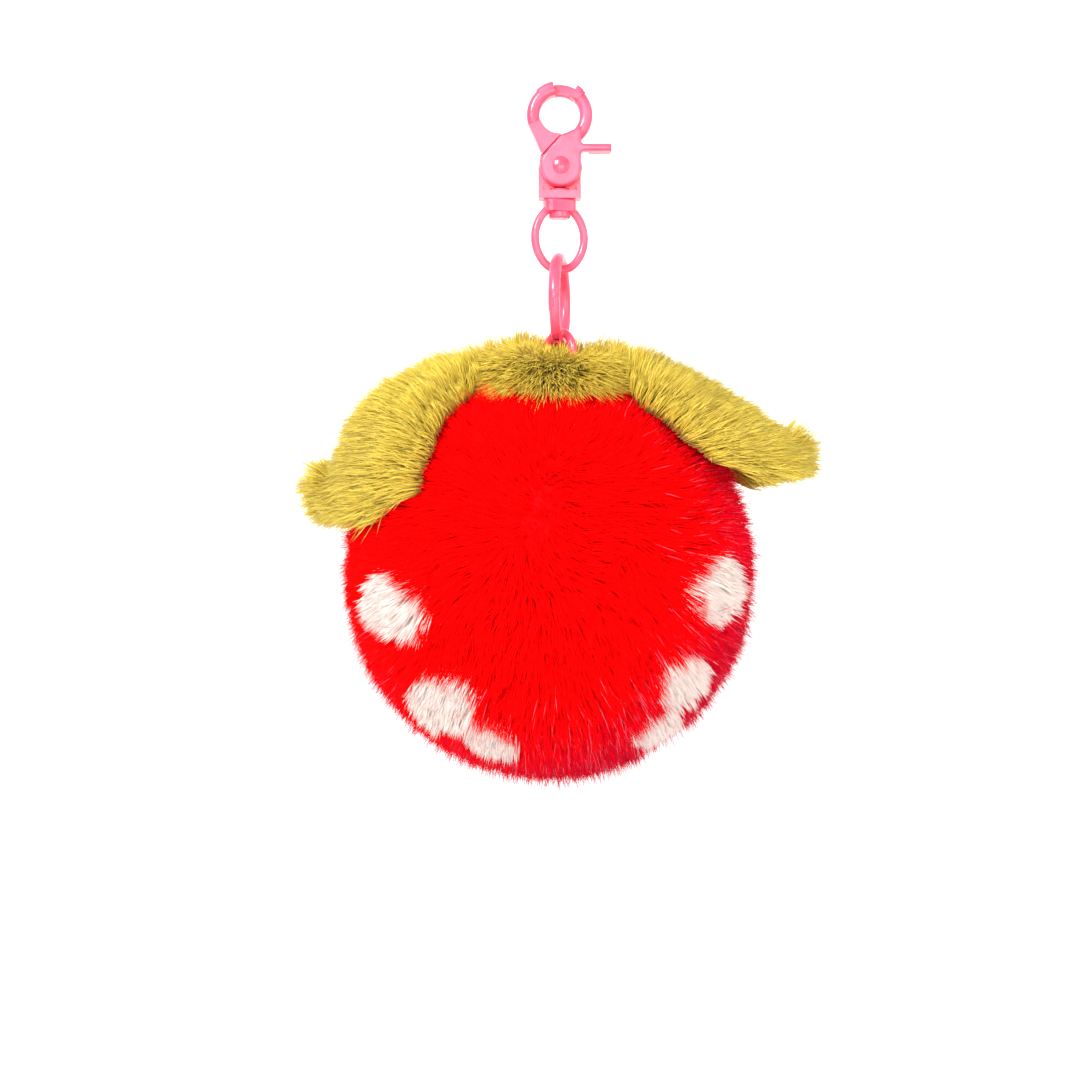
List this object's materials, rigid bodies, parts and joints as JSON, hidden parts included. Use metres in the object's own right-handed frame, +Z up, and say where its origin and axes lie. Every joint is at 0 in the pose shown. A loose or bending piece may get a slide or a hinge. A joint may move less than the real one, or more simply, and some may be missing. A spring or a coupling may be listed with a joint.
{
  "type": "plush keychain",
  "caption": "Furry stuffed fruit charm with two leaves, hung by a spring gate ring from a painted swivel trigger clasp.",
  "frame": {"origin": "centre of the clasp's eye", "axes": "+Z up from the ball to the clasp as it hangs, +Y through the eye away from the viewer, +X towards the clasp's lever"},
  "size_m": [0.1107, 0.066, 0.164],
  "materials": {
    "clasp_enamel": "glossy enamel",
    "rivet_enamel": "glossy enamel",
    "spring_steel": "drawn wire",
    "red_fur": "long faux fur",
    "white_fur": "long faux fur",
    "green_fur": "long faux fur",
    "green_lining": "short pile",
    "red_tape": "woven tape",
    "stuffing": "loose polyester fibre"
  },
  "bodies": {
    "clasp": {"clasp_frame": "clasp_enamel", "pivot_rivet": "rivet_enamel", "trigger_spring": "spring_steel", "swivel_post": "rivet_enamel"},
    "trigger": {"trigger": "clasp_enamel"},
    "swivel": {"swivel_loop": "clasp_enamel"},
    "spring_ring": {"gate_ring": "clasp_enamel", "gate_hinge_pin": "spring_steel", "gate_spring": "spring_steel"},
    "gate": {"ring_gate": "clasp_enamel"},
    "crown_ring": {"crown_ring": "clasp_enamel"},
    "plush": {"hanging_tab": "red_tape", "front_fur_panel": "red_fur", "back_fur_panel": "red_fur", "fibre_stuffing": "stuffing", "calyx_cap": "green_fur", "left_leaf_lining": "green_lining", "left_leaf_fur": "green_fur", "right_leaf_lining": "green_lining", "right_leaf_fur": "green_fur", "white_patch_left": "white_fur", "white_patch_lower_left": "white_fur", "white_patch_bottom_left": "white_fur", "white_patch_bottom_right": "white_fur", "white_patch_lower_right": "white_fur", "white_patch_right": "white_fur", "white_patch_back_1": "white_fur", "white_patch_back_2": "white_fur", "white_patch_back_3": "white_fur", "white_patch_back_4": "white_fur", "white_patch_back_5": "white_fur"}
  },
  "joints": [
    {"name": "trigger_press", "type": "hinge", "parent": "clasp", "child": "trigger", "pos_m": [0.0003, 0, -0.0124], "axis": [0, 1, 0], "range_deg": [0, 28], "stiffness_Nm_per_rad": 0.05, "springref_deg": -22.92},
    {"name": "swivel_spin", "type": "hinge", "parent": "clasp", "child": "swivel", "pos_m": [0, 0, -0.0218], "axis": [0, 0, 1], "continuous": true},
    {"name": "ring_swing", "type": "hinge", "parent": "swivel", "child": "spring_ring", "pos_m": [0, 0, -0.037], "axis": [0.9903, -0.1392, 0], "range_deg": [-60, 60]},
    {"name": "gate_open", "type": "hinge", "parent": "spring_ring", "child": "gate", "pos_m": [-0.00074, -0.0053, -0.05302], "axis": [-0.9903, 0.1392, 0], "range_deg": [0, 28], "stiffness_Nm_per_rad": 0.01, "springref_deg": -28.65},
    {"name": "crown_swing", "type": "hinge", "parent": "spring_ring", "child": "crown_ring", "pos_m": [0, 0, -0.05455], "axis": [0.1392, 0.9903, 0], "range_deg": [-30, 30]},
    {"name": "plush_swing", "type": "hinge", "parent": "crown_ring", "child": "plush", "pos_m": [0, 0, -0.0629], "axis": [0.5736, -0.8192, 0], "range_deg": [-22, 22]}
  ]
}
